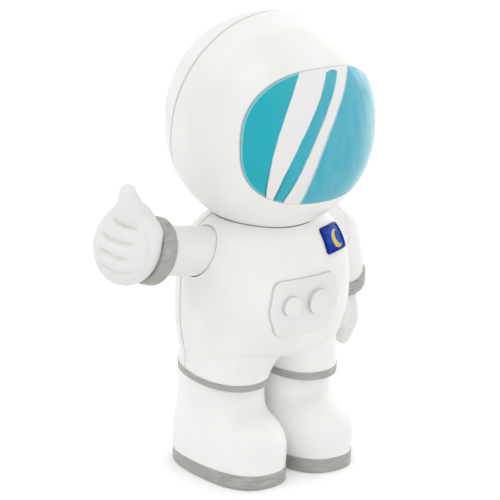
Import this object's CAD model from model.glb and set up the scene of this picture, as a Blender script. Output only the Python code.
import bpy
from math import cos, exp, log, pi, radians, sin
from mathutils import Matrix, Vector


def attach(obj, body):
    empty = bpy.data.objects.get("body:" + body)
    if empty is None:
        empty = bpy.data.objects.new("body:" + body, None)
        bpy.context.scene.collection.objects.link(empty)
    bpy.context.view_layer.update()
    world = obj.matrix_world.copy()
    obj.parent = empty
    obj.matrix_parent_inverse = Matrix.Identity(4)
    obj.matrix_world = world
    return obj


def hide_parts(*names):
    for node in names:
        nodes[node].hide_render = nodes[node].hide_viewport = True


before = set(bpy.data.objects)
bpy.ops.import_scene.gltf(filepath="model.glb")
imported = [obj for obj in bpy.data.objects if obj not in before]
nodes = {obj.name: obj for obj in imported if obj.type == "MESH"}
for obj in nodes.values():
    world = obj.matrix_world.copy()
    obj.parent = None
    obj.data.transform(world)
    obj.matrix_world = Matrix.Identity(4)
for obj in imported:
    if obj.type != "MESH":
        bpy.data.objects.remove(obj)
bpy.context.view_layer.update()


# ---- Torso and trouser legs ----
# The suit's body is two half shells of satin white vinyl, moulded in colour and
# pressed together along a fine seam at each side, where dust has settled.
MM = 0.001
seam_at = Vector((0, 3.2, 0))           # a point on the seam's plane, in millimetres
seam_faces = Vector((0, 1, 0))


def linear(colour):
    """An sRGB hex colour as the linear values that a shader takes."""
    parts = [int(colour[i:i + 2], 16) / 255 for i in (1, 3, 5)]
    return [p / 12.92 if p <= 0.04045 else ((p + 0.055) / 1.055) ** 2.4 for p in parts] + [1.0]


def feed(node, inputs):
    """Gives a node's sockets values or links. A whole node given here stands for its first output in use."""
    for name, value in inputs.items():
        if isinstance(value, bpy.types.Node):
            value = next(socket for socket in value.outputs if socket.enabled)
        if isinstance(value, bpy.types.NodeSocket):
            node.id_data.links.new(value, node.inputs[name])
        else:
            node.inputs[name].default_value = value


def add(tree, kind, inputs=None, **settings):
    """Adds a node, with its own settings and its sockets' values or links."""
    node = tree.nodes.new("ShaderNode" + kind)
    for name, value in settings.items():
        setattr(node, name, value)
    feed(node, inputs or {})
    return node


def plastic(name, roughness, ior=1.5):
    """A new material with a plain plastic shader, and the object's own coordinates in metres."""
    material = bpy.data.materials.new(name)
    material.use_nodes = True
    tree = material.node_tree
    shader = tree.nodes["Principled BSDF"]
    feed(shader, {"Roughness": roughness, "IOR": ior})
    return material, tree, shader, add(tree, "TexCoord").outputs["Object"]


def specks(tree, place, size_mm, detail=2.0, stretch=(1, 1, 1)):
    """Soft noise from 0 to 1 whose lumps are about size_mm across."""
    stretched = add(tree, "Mapping", {"Vector": place, "Scale": stretch})
    return add(tree, "TexNoise", {"Vector": stretched, "Scale": 1 / (size_mm * MM), "Detail": detail})


def tint(tree, under, over, value, low, high, at_low=0.0, at_high=1.0, within=None):
    """Lays one colour over another. As a value passes from low to high, the share of the upper one goes
    smoothly from at_low to at_high, times a second share where within gives one."""
    share = add(tree, "MapRange", {"Value": value, "From Min": low, "From Max": high,
                                   "To Min": at_low, "To Max": at_high}, interpolation_type="SMOOTHSTEP")
    if within is not None:
        share = add(tree, "Math", {0: within, 1: share}, operation="MULTIPLY")
    return add(tree, "Mix", {0: share, 6: under, 7: over}, data_type="RGBA")


def finish_with(material, *names):
    """Gives CAD nodes a material."""
    for name in names:
        nodes[name].data.materials.clear()
        nodes[name].data.materials.append(material)


def white_vinyl(name, roughness, waviness_mm, light="#f6f5f3", deep="#efeeeb"):
    """Vinyl moulded in a polished steel tool: a soft satin sheen, the faint unevenness of a thick moulding
    as it cools, and a breath of cream where the colour lies thicker."""
    cloud_size, sheen_size, wave_size = 16, 5, 6        # in millimetres
    material, tree, shader, place = plastic(name, roughness, ior=1.52)
    colour = tint(tree, linear(light), linear(deep), specks(tree, place, cloud_size), 0.35, 0.7)
    sheen = add(tree, "MapRange", {"Value": specks(tree, place, sheen_size), "From Min": 0.3, "From Max": 0.7,
                                   "To Min": roughness - 0.05, "To Max": roughness + 0.06},
                interpolation_type="SMOOTHSTEP")
    unevenness = specks(tree, place, wave_size, detail=1.5)
    waves = add(tree, "Bump", {"Height": unevenness, "Distance": waviness_mm * MM})
    feed(shader, {"Base Color": colour, "Roughness": sheen, "Normal": waves})
    return material


def reopened(material):
    """A finished vinyl's nodes, shader, coordinates and colour, so that a mark can be laid over it."""
    tree = material.node_tree
    shader = tree.nodes["Principled BSDF"]
    return tree, shader, add(tree, "TexCoord").outputs, shader.inputs["Base Color"].links[0].from_socket


def seam_dust(material, on_seam, square_to_seam):
    """A faint grey line of dust, just under 2 mm wide, along the plane where two half shells meet."""
    dust_full, dust_ends, dust_share = 0.2, 0.9, 0.3        # from the seam in millimetres, and how strong
    tree, shader, places, clean = reopened(material)
    from_seam = add(tree, "VectorMath", {0: places["Object"], 1: on_seam * MM}, operation="SUBTRACT")
    off_seam = add(tree, "VectorMath", {0: from_seam, 1: square_to_seam}, operation="DOT_PRODUCT")
    off_seam = add(tree, "Math", {0: off_seam}, operation="ABSOLUTE")
    dusty = tint(tree, clean, linear("#b4b2b0"), off_seam, dust_full * MM, dust_ends * MM,
                 dust_share, 0.0)
    feed(shader, {"Base Color": dusty})


torso_vinyl = white_vinyl("seamed_white_vinyl", 0.38, 0.06, light="#f8f7f5", deep="#f1f0ed")
seam_dust(torso_vinyl, seam_at, seam_faces)
finish_with(torso_vinyl, "torso_front_shell", "torso_back_shell")


# ---- Chest panel and dials ----
# Small mouldings of the same vinyl. The panel is glued into a recess of the front shell,
# and the dials into recesses of the panel. Their low walls are a little grey from handling.
wall_faces, front_faces = 0.2, 0.6      # cosines of the angle from straight ahead
grime_share = 0.45

panel_vinyl = white_vinyl("handled_white_vinyl", 0.38, 0.06, light="#f0efed", deep="#e9e8e5")
tree, shader, places, clean = reopened(panel_vinyl)
ahead = add(tree, "VectorMath", {0: places["Normal"], 1: (0, -1, 0)}, operation="DOT_PRODUCT")
handled = tint(tree, clean, linear("#b4b3b1"), ahead, wall_faces, front_faces, grime_share, 0.0)
feed(shader, {"Base Color": handled})
finish_with(panel_vinyl, "chest_panel", "small_dial", "large_dial")


# ---- Mission patch ----
# A small square moulding with a raised rim, glued into a recess on the left of the
# chest. It is brushed a deep gloss blue, and a plain crescent is painted on it.
patch_middle = Vector((11.5, -14.6, 60.9)) * MM
patch_out = Vector((0.36, -0.82, 0.44)).normalized()
patch_across = Vector((-patch_out.y, patch_out.x, 0)).normalized()
patch_up = patch_out.cross(patch_across)
rim_starts_across, rim_starts_up = 3.5, 2.6         # from the patch's middle, in millimetres
rim_width = 0.6
moon_outer = (0.95, -0.5, 2.4)          # across, up and radius, in millimetres
moon_inner = (2.2, -0.25, 1.95)         # the circle that bites the crescent out of the first
hand_wobble = 0.35                      # how far the painted edge strays, in millimetres
paint_thins, paint_ends = 0.10, 0.25    # outside the circle, in millimetres
crescent_depth = 0.06                   # how thick its paint is, in millimetres
rim_dark = 0.75                         # how much of the darker blue lies on the rim

# Gloss enamel from a brush: an even shine, with the brush's strokes in its blue. The strokes
# are drawn coarser than a small brush's own, so that they show.
blue_enamel, tree, shader, place = plastic("blue_gloss_enamel", roughness=0.25)
from_middle = add(tree, "VectorMath", {0: place, 1: patch_middle}, operation="SUBTRACT")
across = add(tree, "VectorMath", {0: from_middle, 1: patch_across}, operation="DOT_PRODUCT")
up = add(tree, "VectorMath", {0: from_middle, 1: patch_up}, operation="DOT_PRODUCT")
flat = add(tree, "CombineXYZ", {"X": across, "Y": up})
wobble = specks(tree, place, size_mm=0.9, detail=1.0)


def disc(circle):
    """1 inside a painted circle, with a hand-painted edge."""
    x, y, radius = circle
    distance = add(tree, "VectorMath", {0: flat, 1: (x * MM, y * MM, 0)}, operation="DISTANCE")
    uneven = add(tree, "Math", {0: wobble, 1: hand_wobble * MM, 2: distance}, operation="MULTIPLY_ADD")
    return add(tree, "MapRange", {"Value": uneven, "From Min": (radius + paint_thins) * MM,
                                  "From Max": (radius + paint_ends) * MM, "To Min": 1.0, "To Max": 0.0},
               interpolation_type="SMOOTHSTEP")


outside_inner = add(tree, "Math", {0: 1.0, 1: disc(moon_inner)}, operation="SUBTRACT")
moon = add(tree, "Math", {0: disc(moon_outer), 1: outside_inner}, operation="MULTIPLY")
brushed = specks(tree, place, size_mm=1.6, stretch=(1, 1, 0.35))
blue = tint(tree, linear("#0a2f9c"), linear("#164cbe"), brushed, 0.35, 0.65)
past_rim = []
for along, starts in ((across, rim_starts_across), (up, rim_starts_up)):
    off_middle = add(tree, "Math", {0: along}, operation="ABSOLUTE")
    past_rim.append(add(tree, "Math", {0: off_middle, 1: starts * MM}, operation="SUBTRACT"))
to_rim = add(tree, "Math", {0: past_rim[0], 1: past_rim[1]}, operation="MAXIMUM")
blue = tint(tree, blue, linear("#0a1f72"), to_rim, 0.0, rim_width * MM, 0.0, rim_dark)
painted = add(tree, "Mix", {0: moon, 6: blue, 7: linear("#dcc75c")}, data_type="RGBA")
thick_paint = add(tree, "Bump", {"Height": moon, "Distance": crescent_depth * MM})
feed(shader, {"Base Color": painted, "Normal": thick_paint, "Specular IOR Level": 0.1})
finish_with(blue_enamel, "mission_patch")


# ---- Boots, soles and hem bands ----
# Each boot is a vinyl moulding with a plug glued into its sole and a spigot glued into the
# trouser leg. The soles and the narrow bands under the hems are separate mouldings, brushed
# with satin grey paint. All sizes are in millimetres.
boot_x = 10.7           # from the figure's middle to each boot's
sole_top = 3.9
hem_height = {"right": 26.9, "left": 26.1}
band_thickness = {"right": 1.65, "left": 2.0}
hem_fall = 0.09         # how steeply the hems drop towards the front
upright = 1.004         # a band's upright thickness over its own, because it slants that much
spigot_radius, spigot_above_hem = 4.5, 8.5
plug_half_x, plug_half_y, plug_back, plug_depth, plug_corners = 7.35, 12.18, -2.8, 1.2, 2.6

# The shaft widens a little from flare_top down. A corner power of 2 is an oval, and more is squarer.
shaft_half_x, shaft_half_y, shaft_back, shaft_corners = 9.7, 11.6, 1.2, 2.4
flare_top, flare_height, flare_x, flare_y = 20, 16, 0.1, 0.5
# The toe is widest at one height, and domes in above and below it.
toe_half_x, toe_half_y, toe_ahead, toe_corners = 10.45, 17.1, 3.3, 2.5
toe_widest, dome_above, dome_below, dome_corners = 8.5, 9.5, 20, 2.4
shaft_scale, toe_scale, instep_softness = 10, 11, 1.0
# The mesh: points round a boot, rings up it, and how the skin is sought along each ray.
around, levels = 96, 44
least_reach, most_reach, halvings = 2.0, 26.0, 26


def soft_union(first, second, softness):
    """Two forms run into each other over a width. A form is 0 on its skin and less inside."""
    return -softness * log(exp(-first / softness) + exp(-second / softness))


def boot_form(x, y, z):
    """A straight shaft set back over a foot with a high round toe, as about the distance from its skin."""
    flare = min(max((flare_top - z) / flare_height, 0), 1)
    half_x, half_y = shaft_half_x + flare_x * flare, shaft_half_y + flare_y * flare
    power = shaft_corners
    shaft = (abs(x / half_x) ** power + abs((y - shaft_back) / half_y) ** power) ** (1 / power)
    power = toe_corners
    oval = (abs(x / toe_half_x) ** power + abs((y + toe_ahead) / toe_half_y) ** power) ** (1 / power)
    power = dome_corners
    dome = (z - toe_widest) / dome_above if z > toe_widest else (toe_widest - z) / dome_below
    toe = (oval ** power + dome ** power) ** (1 / power)
    return soft_union((shaft - 1) * shaft_scale, (toe - 1) * toe_scale, instep_softness)


def ring_height(side, share, y):
    """How high a boot's ring is: level at the sole, and as steep as the hem under its band."""
    under_band = hem_height[side] - upright * band_thickness[side]
    return sole_top + share * (under_band + hem_fall * y - sole_top)


def boot_ring(side, share):
    """The points round a boot, at a share of the way from its sole up to its hem band."""
    ring = []
    for i in range(around):
        c, s = cos(2 * pi * i / around), sin(2 * pi * i / around)
        low, high = least_reach, most_reach
        for _ in range(halvings):
            reach = (low + high) / 2
            inside = boot_form(reach * c, reach * s, ring_height(side, share, reach * s)) < 0
            low, high = (reach, high) if inside else (low, reach)
        ring.append((low * c, low * s, ring_height(side, share, low * s)))
    return ring


def oval_ring(half_x, half_y, y, height, power=2.0):
    """A level oval ring."""
    ring = []
    for i in range(around):
        c, s = cos(2 * pi * i / around), sin(2 * pi * i / around)
        reach = (abs(c / half_x) ** power + abs(s / half_y) ** power) ** (-1 / power)
        ring.append((reach * c, y + reach * s, height))
    return ring


# The boots' vinyl is like the body's, and a shade paler.
boot_vinyl = white_vinyl("pale_white_vinyl", 0.38, 0.06, light="#fbfaf8", deep="#f5f4f2")
for side, sign in (("right", -1), ("left", 1)):
    # From below: the plug in the sole, the boot itself, and the spigot up into the trouser leg.
    rings = [oval_ring(plug_half_x, plug_half_y, plug_back, height, plug_corners)
             for height in (sole_top - plug_depth, sole_top)]
    rings += [boot_ring(side, level / levels) for level in range(levels + 1)]
    spigot_ring = oval_ring(spigot_radius, spigot_radius, 0, hem_height[side] + spigot_above_hem)
    rings += [[(x, y, ring_height(side, 1, y)) for x, y, z in spigot_ring], spigot_ring]
    points = [Vector((x + sign * boot_x, y, z)) * MM for ring in rings for x, y, z in ring]
    faces = []
    for j in range(len(rings) - 1):
        for i in range(around):
            k = (i + 1) % around
            faces.append((j * around + i, j * around + k, (j + 1) * around + k, (j + 1) * around + i))
    faces += [tuple(range(around))[::-1], tuple(range(len(points) - around, len(points)))]
    boot = bpy.data.objects.new(side + "_boot_casting", bpy.data.meshes.new(side + "_boot_casting"))
    boot.data.from_pydata(points, [], faces)
    boot.data.shade_smooth()
    boot.data.set_sharp_from_angle(angle=radians(50))
    boot.data.materials.append(boot_vinyl)
    bpy.context.scene.collection.objects.link(boot)
    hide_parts(side + "_boot")
    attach(boot, "torso")

# Satin enamel from a stiff brush, which leaves streaks and uneven patches. The streaks are
# drawn coarser than the bristles' own, so that they show.
streak_depth = 0.05     # in millimetres
grey_enamel, tree, shader, place = plastic("brushed_on_grey_enamel", roughness=0.42)
streaks = specks(tree, place, size_mm=1.1, detail=3.0, stretch=(0.3, 0.3, 1.6))
patches = specks(tree, place, size_mm=9, detail=1.0)
grey = tint(tree, linear("#a0a099"), linear("#b8b8b2"), streaks, 0.3, 0.7)
grey = tint(tree, grey, linear("#abaaa4"), patches, 0.35, 0.75)
brush_marks = add(tree, "Bump", {"Height": streaks, "Distance": streak_depth * MM})
feed(shader, {"Base Color": grey, "Normal": brush_marks})
finish_with(grey_enamel, "right_sole", "left_sole", "right_hem_band", "left_hem_band")


# ---- Helmet ----
# Two half globes of the same vinyl, from a more highly polished tool, held together
# by hidden pins along a groove that runs from ear to ear over the crown.
helmet_middle = Vector((0, -2.3, 90.3))         # in millimetres
helmet_seam_at = Vector((0, 4.6, 90.3))
helmet_seam_faces = Vector((0, 1, 0.19)).normalized()
# How far the visor's outline reaches, in degrees, and how square its corners are: 2 is an oval.
visor_half_turn, visor_top, visor_bottom = 53.5, 40.2, 36.5
corners_above, corners_below = 2.5, 2.9
crept_line = (0.985, 1.0, 1.03, 1.06)           # where it starts, is full, thins and ends: 1 is the rim
crept_at_right, crept_elsewhere = 0.55, 0.12    # how strong it is


def round_visor(tree, place):
    """A point's turn from the helmet's front, its rise, and how far out it lies: 1 is the visor's rim."""
    from_middle = add(tree, "VectorMath", {0: place, 1: helmet_middle * MM}, operation="SUBTRACT")
    parts = add(tree, "SeparateXYZ", {0: from_middle}).outputs
    ahead = add(tree, "Math", {0: parts["Y"], 1: -1.0}, operation="MULTIPLY")
    level = add(tree, "CombineXYZ", {"X": parts["X"], "Y": parts["Y"]})
    reach = add(tree, "VectorMath", {0: level}, operation="LENGTH")
    turn = add(tree, "Math", {0: parts["X"], 1: ahead}, operation="ARCTAN2")
    rise = add(tree, "Math", {0: parts["Z"], 1: reach}, operation="ARCTAN2")
    above = add(tree, "Math", {0: rise, 1: 0.0}, operation="GREATER_THAN")
    tallness = add(tree, "MapRange", {"Value": above, "To Min": radians(visor_bottom),
                                      "To Max": radians(visor_top)})
    corners = add(tree, "MapRange", {"Value": above, "To Min": corners_below, "To Max": corners_above})
    shares = []
    for angle, most in ((turn, radians(visor_half_turn)), (rise, tallness)):
        share = add(tree, "Math", {0: angle, 1: most}, operation="DIVIDE")
        share = add(tree, "Math", {0: share}, operation="ABSOLUTE")
        shares.append(add(tree, "Math", {0: share, 1: corners}, operation="POWER"))
    return turn, rise, add(tree, "Math", {0: shares[0], 1: shares[1]}, operation="ADD")


def strip(tree, value, limits):
    """A painted line: 0 before the first limit and past the last, and 1 between the two in the middle."""
    starts, full, thins, ends = limits
    rising = add(tree, "MapRange", {"Value": value, "From Min": starts, "From Max": full},
                 interpolation_type="SMOOTHSTEP")
    falling = add(tree, "MapRange", {"Value": value, "From Min": thins, "From Max": ends,
                                     "To Min": 1.0, "To Max": 0.0}, interpolation_type="SMOOTHSTEP")
    return add(tree, "Math", {0: rising, 1: falling}, operation="MULTIPLY")


# The visor's colour crept a hair's breadth past its seat, mostly at the figure's right, as a brownish line.
helmet_vinyl = white_vinyl("polished_white_vinyl", roughness=0.33, waviness_mm=0.05)
tree, shader, places, clean = reopened(helmet_vinyl)
turn, rise, outline = round_visor(tree, places["Object"])
crept = tint(tree, clean, linear("#8f8488"), turn, radians(-34), radians(-8), crept_at_right,
             crept_elsewhere, within=strip(tree, outline, crept_line))
feed(shader, {"Base Color": crept})
seam_dust(helmet_vinyl, helmet_seam_at, helmet_seam_faces)
finish_with(helmet_vinyl, "helmet_front_shell", "helmet_back_shell")


# ---- Visor ----
# A curved blank set into the helmet's window and painted gloss turquoise. Two white
# glints, one wide and one narrow, are brushed across it from top to bottom.
rise_low, rise_high = -42.0, 42.0       # degrees above the helmet's middle
turn_low, turn_high = -50.0, 40.0       # degrees round from its front, towards its own left
glint_edges = (
    # the turn of each edge at seven even steps from rise_low to rise_high
    (-39.6, -39.1, -37.5, -34.8, -30.7, -25.1, -17.8),
    (-38.0, -33.6, -28.5, -22.4, -15.2, -6.7, 3.1),
    (-32.2, -25.8, -20.1, -14.3, -7.3, 1.9, 14.1),
    (-19.1, -15.6, -12.1, -7.4, -0.3, 10.7, 26.7),
)
edge_softness = (0.3, 0.3, 0.8, 1.3)    # in degrees: the narrow glint's edges were wiped while wet
unsteadiness = 0.15                     # how far the brush strayed, in degrees
band_taper = 9.0                        # more is a more pointed end
band_stops = (0.88, 0.905)              # the share of the way to the visor's rim
dark_line = (0.0, 0.35, 0.7, 1.3)       # outside a glint's edge, in degrees
pale_line = (0.935, 0.955, 0.985, 0.997)        # the share of the way to the visor's rim
pale_at_left, pale_at_right = 0.15, 0.6         # how strong it is
run_in_share, dark_line_share, stroke_share, grime_at_rim = 0.75, 0.75, 0.4, 0.5
paint_depth = 0.12                      # how thick the white stands, in millimetres

# Gloss enamel from a brush, which levels as it dries: a wet shine over faint strokes, which
# are drawn coarser than a small brush's own, so that they show.
turquoise_enamel, tree, shader, place = plastic("turquoise_gloss_enamel", roughness=0.2)
true_turn, rise, outline = round_visor(tree, place)
wander = specks(tree, place, size_mm=4.0, detail=1.0)
unsteady = add(tree, "MapRange", {"Value": wander, "From Min": 0.2, "From Max": 0.8,
                                  "To Min": -radians(unsteadiness), "To Max": radians(unsteadiness)},
               interpolation_type="SMOOTHSTEP")
turn = add(tree, "Math", {0: true_turn, 1: unsteady}, operation="ADD")
height_share = add(tree, "MapRange", {"Value": rise, "From Min": radians(rise_low),
                                      "From Max": radians(rise_high)})


def beyond(edge):
    """How far round a point lies beyond a glint's edge, in radians."""
    curve = add(tree, "FloatCurve", {"Value": height_share})
    points = curve.mapping.curves[0].points
    last = len(edge) - 1
    for i, edge_turn in enumerate(edge):
        place_on_curve = (i / last, (edge_turn - turn_low) / (turn_high - turn_low))
        if i in (0, last):
            points[0 if i == 0 else -1].location = place_on_curve
        else:
            points.new(*place_on_curve)
    curve.mapping.update()
    edge_turn = add(tree, "MapRange", {"Value": curve, "To Min": radians(turn_low),
                                       "To Max": radians(turn_high)})
    return add(tree, "Math", {0: turn, 1: edge_turn}, operation="SUBTRACT")


past = [beyond(edge) for edge in glint_edges]
inside = [add(tree, "MapRange", {"Value": value, "From Min": -radians(soft), "From Max": radians(soft)},
              interpolation_type="SMOOTHSTEP") for value, soft in zip(past, edge_softness)]
wide_glint = add(tree, "Math", {0: inside[0], 1: inside[1]}, operation="SUBTRACT")
narrow_glint = add(tree, "Math", {0: inside[2], 1: inside[3]}, operation="SUBTRACT")
glint = add(tree, "Math", {0: wide_glint, 1: narrow_glint}, operation="ADD", use_clamp=True)

# The narrow turquoise band between the glints stops round, a little short of the rim at the top.
edges_apart = add(tree, "Math", {0: past[1], 1: past[2]}, operation="ADD")
off_band = add(tree, "Math", {0: edges_apart, 1: 0.5}, operation="MULTIPLY")
off_band = add(tree, "Math", {0: off_band, 1: off_band}, operation="MULTIPLY")
to_end = add(tree, "Math", {0: off_band, 1: band_taper, 2: outline}, operation="MULTIPLY_ADD")
past_end = add(tree, "MapRange", {"Value": to_end, "From Min": band_stops[0], "From Max": band_stops[1]},
               interpolation_type="SMOOTHSTEP")
high_up = add(tree, "MapRange", {"Value": rise, "From Min": radians(10), "From Max": radians(20)},
              interpolation_type="SMOOTHSTEP")
band_end = add(tree, "Math", {0: past_end, 1: high_up}, operation="MULTIPLY")
into_band = add(tree, "MapRange", {"Value": past[1], "From Min": -radians(2), "From Max": -radians(0.4)},
                interpolation_type="SMOOTHSTEP")
out_of_band = add(tree, "MapRange", {"Value": past[2], "From Min": radians(0.9), "From Max": radians(2.5)},
                  interpolation_type="SMOOTHSTEP")
band = add(tree, "Math", {0: into_band, 1: out_of_band}, operation="SUBTRACT")
band_end = add(tree, "Math", {0: band_end, 1: band}, operation="MULTIPLY")
glint = add(tree, "Math", {0: glint, 1: band_end}, operation="MAXIMUM")

# The brush laid the turquoise thick at the figure's right and thin at its left, where white shows through.
strokes = specks(tree, place, size_mm=2.4, detail=3.0, stretch=(1, 1, 0.25))
turquoise = tint(tree, linear("#0fb0be"), linear("#5ab7cb"), turn, radians(-45), radians(5))
turquoise = tint(tree, turquoise, linear("#aee0ea"), turn, radians(13), radians(50))
turquoise = tint(tree, turquoise, linear("#2aa8bb"), strokes, 0.35, 0.7, 0.0, stroke_share)

# A pale line where the paint drew back from the rim, and a dark one where it ran into the seat.
on_right = add(tree, "MapRange", {"Value": true_turn, "From Min": radians(-25), "From Max": radians(-5),
                                  "To Min": 1.0, "To Max": 0.0}, interpolation_type="SMOOTHSTEP")
low_down = add(tree, "MapRange", {"Value": rise, "From Min": radians(-30), "From Max": radians(-5),
                                  "To Min": 1.0, "To Max": 0.0}, interpolation_type="SMOOTHSTEP")
turquoise = tint(tree, turquoise, linear("#a9dce2"), on_right, 0, 1, pale_at_left, pale_at_right,
                 within=strip(tree, outline, pale_line))
in_seat = add(tree, "MapRange", {"Value": outline, "From Min": 0.975, "From Max": 0.99},
              interpolation_type="SMOOTHSTEP")
turquoise = tint(tree, turquoise, linear("#2c6f84"), low_down, 0, 1, 0.0, run_in_share, within=in_seat)

# The white lies over a dark first line, which shows along the lower ends of the first three edges.
faint = add(tree, "Math", {0: low_down, 1: dark_line_share}, operation="MULTIPLY")
for edge, outward in ((0, -1.0), (1, 1.0), (2, -1.0)):
    outside = add(tree, "Math", {0: past[edge], 1: outward}, operation="MULTIPLY")
    line = strip(tree, outside, [radians(limit) for limit in dark_line])
    line = add(tree, "Math", {0: line, 1: faint}, operation="MULTIPLY")
    turquoise = add(tree, "Mix", {0: line, 6: turquoise, 7: linear("#2b4f63")}, data_type="RGBA")

white = tint(tree, linear("#efeeec"), linear("#bcc8cd"), outline, 0.965, 0.985, 0.0, grime_at_rim)
painted = add(tree, "Mix", {0: glint, 6: turquoise, 7: white}, data_type="RGBA")
thickness = add(tree, "Math", {0: strokes, 1: 0.2, 2: glint}, operation="MULTIPLY_ADD")
thick_paint = add(tree, "Bump", {"Height": thickness, "Distance": paint_depth * MM})
feed(shader, {"Base Color": painted, "Normal": thick_paint, "Specular IOR Level": 0.3})
finish_with(turquoise_enamel, "visor")


# ---- Sleeves and cuffs ----
# The sleeves are vinyl like the body, each in one piece and without a seam. The cuffs
# are fat rings at their ends, brushed with the same grey as the soles.
sleeve_vinyl = white_vinyl("satin_white_vinyl", roughness=0.38, waviness_mm=0.06)
finish_with(sleeve_vinyl, "right_sleeve", "left_sleeve")
finish_with(grey_enamel, "right_cuff", "left_cuff")


# ---- Gloves ----
# Soft vinyl, each cast in one piece with the peg that turns inside the cuff. The
# fingers are only shallow creases in a rounded fist, and the heel of it is smooth.
# Sizes are in millimetres, and places are from the right wrist.
right_wrist = Vector((-34.176, -0.8, 61.435))   # from the figure's own origin
right_wrist_axis = Vector((-0.9544, 0.0, 0.29853))
hand_start = 3.3        # along the wrist's axis, where the hand comes out of the cuff
hand_fade = 0.6         # the length over which it takes on the fist's form
heel_radius = 6.8       # the heel of the hand is no wider than this at the cuff's mouth
core = (-3.0, -1.5)     # what lies deeper under the fist's skin than the first keeps its form
fist_middle = Vector((-7.67, -0.23, 3.0))
fist_axes = (Vector((3.24, 1.18, 9.6)), Vector((-6.29, 5.48, 1.45)), Vector((4.83, 6.18, -2.39)))
fist_scale = 8.5        # about the egg's middle half axis
pulls = 6               # how often each point is drawn to the fist's skin
thumb_line = [
    # from the thumb's tip down its length and round to the heel of the hand
    Vector((-9.2, -1.85, 16.7)), Vector((-8.65, -1.8, 14.0)), Vector((-8.2, -1.6, 11.4)),
    Vector((-4.4, -3.4, 6.9)),
]
thumb_radii = (2.1, 3.0, 4.1, 3.0)
thumb_softness = 0.9
crease_width = 0.52
crease_reach = 4                # how many widths off nothing moves any more
crease_shoulders = 2.6          # how much wider a crease's soft shoulders are
sharp_share = 0.6               # how much of its depth is sharp
crease_start, crease_end = 0.12, 0.25       # the shares of its path over which it fades
creases = (
    # a path across the fingers, and its depth; the last runs along the fingers' ends
    (((-12.7, -0.1, 11.3), (-12.8, -2.4, 10.7), (-12.2, -3.9, 10.2), (-11.1, -5.2, 9.8), (-10.0, -6.2, 9.4),
      (-7.9, -7.4, 8.1)), 1.7),
    (((-15.0, 1.4, 6.7), (-15.2, -0.8, 6.5), (-15.1, -2.3, 6.1), (-13.8, -5.0, 5.7), (-11.9, -6.9, 5.2),
      (-9.1, -8.2, 4.8)), 1.5),
    (((-16.2, 0.8, 2.6), (-16.2, -0.9, 2.7), (-15.9, -2.3, 2.5), (-14.9, -4.6, 1.5), (-13.5, -6.2, 1.2),
      (-10.4, -8.1, 1.5)), 1.5),
    (((-15.7, 0.8, -1.2), (-15.5, -1.8, -1.7), (-14.4, -3.8, -2.6), (-12.5, -5.9, -2.7),
      (-10.4, -7.0, -2.6)), 1.3),
    (((-7.4, -7.6, 8.0), (-7.2, -8.1, 6.5), (-7.1, -8.4, 4.6), (-7.2, -8.6, 2.6), (-7.5, -8.4, 0.6),
      (-8.2, -7.9, -1.5)), 0.7),
)
to_egg = Matrix(fist_axes).transposed().inverted()

# The gloves' vinyl is softer than the body's, with a duller sheen and a slightly greyer white.
glove_vinyl = white_vinyl("soft_white_vinyl", 0.42, 0.04, light="#eeedeb", deep="#e7e6e4")


def melted(node, grain_mm, passes):
    """A copy of a CAD glove with its separate rolls melted together, as one casting."""
    casting = bpy.data.objects.new(node + "_casting", nodes[node].data.copy())
    bpy.context.scene.collection.objects.link(casting)
    melt = casting.modifiers.new("melt", "REMESH")
    melt.mode = "VOXEL"
    melt.voxel_size = grain_mm * MM
    soften = casting.modifiers.new("soften", "SMOOTH")
    soften.factor = 0.5
    soften.iterations = passes
    mesh = bpy.data.meshes.new_from_object(casting.evaluated_get(bpy.context.evaluated_depsgraph_get()))
    casting.modifiers.clear()
    casting.data = mesh
    mesh.shade_smooth()
    mesh.materials.clear()
    mesh.materials.append(glove_vinyl)
    return casting


def ease(value, low, high):
    """0 below low, 1 above high, and smooth between them."""
    share = min(max((value - low) / (high - low), 0.0), 1.0)
    return share * share * (3 - 2 * share)


def nearest(point, path):
    """The distance from a point to a path, and how far along the path that is, from 0 to 1."""
    best = (1e9, 0.0)
    for i in range(len(path) - 1):
        run = path[i + 1] - path[i]
        share = min(max((point - path[i]).dot(run) / run.length_squared, 0.0), 1.0)
        gap = (point - path[i] - share * run).length
        if gap < best[0]:
            best = (gap, (i + share) / (len(path) - 1))
    return best


def fist_form(point):
    """The egg and the thumb run into each other, as about the distance from their skin."""
    egg = ((to_egg @ (point - fist_middle)).length - 1) * fist_scale
    gap, along = nearest(point, thumb_line)
    last = len(thumb_line) - 2
    part = min(int(along * (last + 1)), last)
    share = along * (last + 1) - part
    thumb = gap - thumb_radii[part] * (1 - share) - thumb_radii[part + 1] * share
    return soft_union(egg, thumb, thumb_softness)


def slope(form, point, value):
    """Which way a form grows at a point, and how fast."""
    step = 0.01
    return Vector([(form(point + Vector(to_side)) - value) / step for to_side in
                   ((step, 0, 0), (0, step, 0), (0, 0, step))])


def carve(casting, path, depth):
    """A shallow crease along a path, sunk towards the fist's middle. It fades at both ends."""
    path = [(right_wrist + Vector(step)) * MM for step in path]
    middle = (right_wrist + fist_middle) * MM
    for vertex in casting.data.vertices:
        gap, along = nearest(vertex.co, path)
        widths = gap / (crease_width * MM)
        if widths < crease_reach:
            ends = ease(along, 0.0, crease_start) * ease(1 - along, 0.0, crease_end)
            sharp, soft = exp(-widths ** 2), exp(-(widths / crease_shoulders) ** 2)
            sink = depth * MM * ends * (sharp_share * sharp + (1 - sharp_share) * soft)
            vertex.co -= (vertex.co - middle).normalized() * sink


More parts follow.
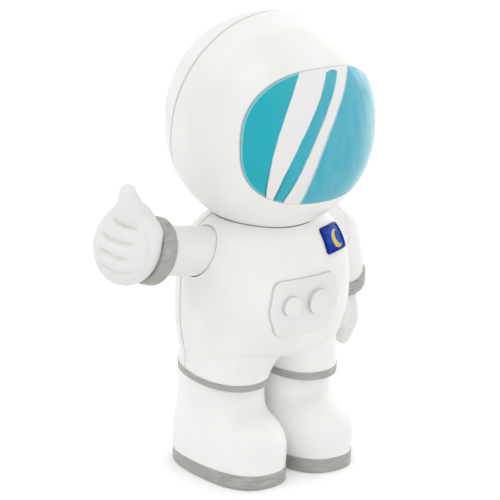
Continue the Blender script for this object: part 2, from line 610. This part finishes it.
# The right fist is one rounded egg with the thumb standing out of it, from the cuff's mouth on.
casting = melted("right_glove", grain_mm=0.24, passes=6)
for vertex in casting.data.vertices:
    point = vertex.co / MM - right_wrist
    reach = point.dot(right_wrist_axis)
    spread = point - reach * right_wrist_axis
    if hand_start - hand_fade < reach < hand_start + hand_fade and spread.length > heel_radius:
        point -= spread * (1 - heel_radius / spread.length)
    start = point
    share = ease(reach, hand_start, hand_start + hand_fade)
    share *= ease(fist_form(point), *core)
    if share:
        for _ in range(pulls):
            value = fist_form(point)
            grow = slope(fist_form, point, value)
            point = point - grow * (value / grow.length_squared)
    vertex.co = (right_wrist + start.lerp(point, share)) * MM
for path, depth in creases:
    carve(casting, path, depth)
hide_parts("right_glove")
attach(casting, "right_hand")

# The left hand hangs, with its fingers together.
casting = melted("left_glove", grain_mm=0.35, passes=48)
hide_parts("left_glove")
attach(casting, "left_hand")


# ---- Neck and shoulder pegs ----
# Slotted nylon pegs that snap into the torso and let the helmet and arms turn. They
# are natural, undyed nylon with a dry, slightly waxy surface, and none shows outside.
grain_depth = 0.02      # in millimetres
nylon, tree, shader, place = plastic("natural_nylon", roughness=0.5, ior=1.53)
clouds = specks(tree, place, size_mm=3)
milky = add(tree, "Mix", {0: clouds, 6: linear("#dedcd3"), 7: linear("#e9e7df")}, data_type="RGBA")
grain = add(tree, "Bump", {"Height": specks(tree, place, size_mm=0.6), "Distance": grain_depth * MM})
feed(shader, {"Base Color": milky, "Normal": grain})
finish_with(nylon, "neck_peg", "right_shoulder_peg", "left_shoulder_peg")


# ---- Studio ----
# A white table under an even white tent, which gives most of the light. A soft lamp
# hangs high at the figure's right front, and a stronger one stands at its left, a little behind.
table_half = 3.0                        # in metres
table_lift = 0.22                       # how much paler the table looks than its own light makes it
tent_light = 0.95                       # on the figure, where 1 is the white behind it
lamps_aim_at = Vector((0, 0, 0.06))     # the figure's chest, in metres


def seen_by(tree):
    """1 where the camera sees a thing itself, or its image in something glossy or clear."""
    ray = add(tree, "LightPath").outputs
    seen = add(tree, "Math", {0: ray["Is Camera Ray"], 1: ray["Is Glossy Ray"]}, operation="MAXIMUM")
    return add(tree, "Math", {0: seen, 1: ray["Is Transmission Ray"]}, operation="MAXIMUM")


# A matt white laminate, which the eye takes as plain white right up to the figure's shadow.
table = bpy.data.objects.new("table", bpy.data.meshes.new("table"))
corners = [(x * table_half, y * table_half, 0) for x, y in ((-1, -1), (1, -1), (1, 1), (-1, 1))]
table.data.from_pydata(corners, [], [(0, 1, 2, 3)])
bpy.context.scene.collection.objects.link(table)
table_top = bpy.data.materials.new("white_table")
table_top.use_nodes = True
tree = table_top.node_tree
tree.nodes.clear()
lift = add(tree, "Math", {0: seen_by(tree), 1: table_lift}, operation="MULTIPLY")
diffuse = add(tree, "BsdfDiffuse", {"Color": linear("#f0f0f0")})
glow = add(tree, "Emission", {"Color": linear("#ffffff"), "Strength": lift})
add(tree, "OutputMaterial", {"Surface": add(tree, "AddShader", {0: diffuse, 1: glow})})
table.data.materials.append(table_top)

world = bpy.data.worlds.new("tent")
bpy.context.scene.world = world
world.use_nodes = True
tree = world.node_tree
tree.nodes.clear()
strength = add(tree, "MapRange", {"Value": seen_by(tree), "To Min": tent_light, "To Max": 1.0})
tent = add(tree, "Background", {"Color": linear("#ffffff"), "Strength": strength})
add(tree, "OutputWorld", {"Surface": tent})


def softbox(name, place, size, watts):
    """A square area lamp aimed at the figure's chest."""
    lamp = bpy.data.lights.new(name, "AREA")
    lamp.shape = "SQUARE"
    lamp.size = size
    lamp.energy = watts
    holder = bpy.data.objects.new(name, lamp)
    holder.location = place
    holder.rotation_euler = (lamps_aim_at - Vector(place)).to_track_quat("-Z", "Y").to_euler()
    bpy.context.scene.collection.objects.link(holder)


softbox("high_lamp", place=(-0.7, -0.5, 1.1), size=0.8, watts=0.96)
softbox("side_lamp", place=(0.9, 0.3, 0.5), size=0.7, watts=1.6)

# The camera stands in front of the figure's right, a little above it, with a long lens.
right = Vector((0.79245, -0.60942, 0.02506))
upward = Vector((0.15903, 0.24611, 0.95611))
forward = Vector((0.58884, 0.75368, -0.29194))
step_left, step_down = 2.8, 4.06        # in millimetres, which puts the figure in its place in the frame
stand = Vector((-412.19, -527.58, 264.36)) - step_left * right - step_down * upward
eye = bpy.data.cameras.new("eye")
eye.lens = 199.3
eye.sensor_width = 36.0
eye.clip_start = 0.05
camera = bpy.data.objects.new("eye", eye)
turned = Matrix((right, upward, -forward)).transposed().to_4x4()
camera.matrix_world = Matrix.Translation(stand * MM) @ turned
bpy.context.scene.collection.objects.link(camera)
bpy.context.scene.camera = camera
bpy.context.scene.view_settings.view_transform = "Standard"
